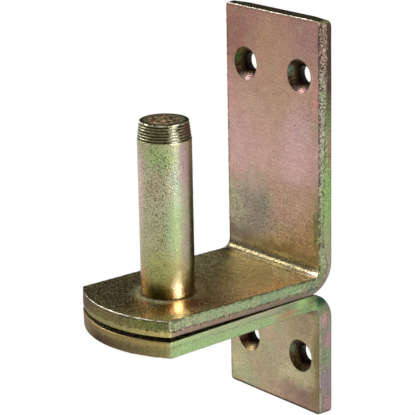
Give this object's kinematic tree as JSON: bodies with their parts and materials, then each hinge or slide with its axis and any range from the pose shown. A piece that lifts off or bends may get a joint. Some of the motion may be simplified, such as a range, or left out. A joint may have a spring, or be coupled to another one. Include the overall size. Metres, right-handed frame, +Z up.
{
  "type": "gate hinge pin",
  "caption": "Upright round hinge pin riveted through the stacked tongues of two bent wall brackets with countersunk screw holes; a gate's hinge eye drops over the pin.",
  "frame": {"origin": "on the pin's axis at the upper tongue's top face, where the gate's eye rests", "axes": "+Z up the pin, +Y from the pin to the wall, +X across the plates"},
  "size_m": [0.042, 0.0695, 0.1231],
  "materials": {
    "bracket_steel": "satin yellow chromate zinc plating, cloudy bronze with pink and green tints",
    "pin_steel": "satin yellow chromate zinc plating, pale olive with fine dark specks"
  },
  "bodies": {
    "root": {"upper_bracket": "bracket_steel", "lower_bracket": "bracket_steel", "hinge_pin": "pin_steel"}
  },
  "joints": []
}
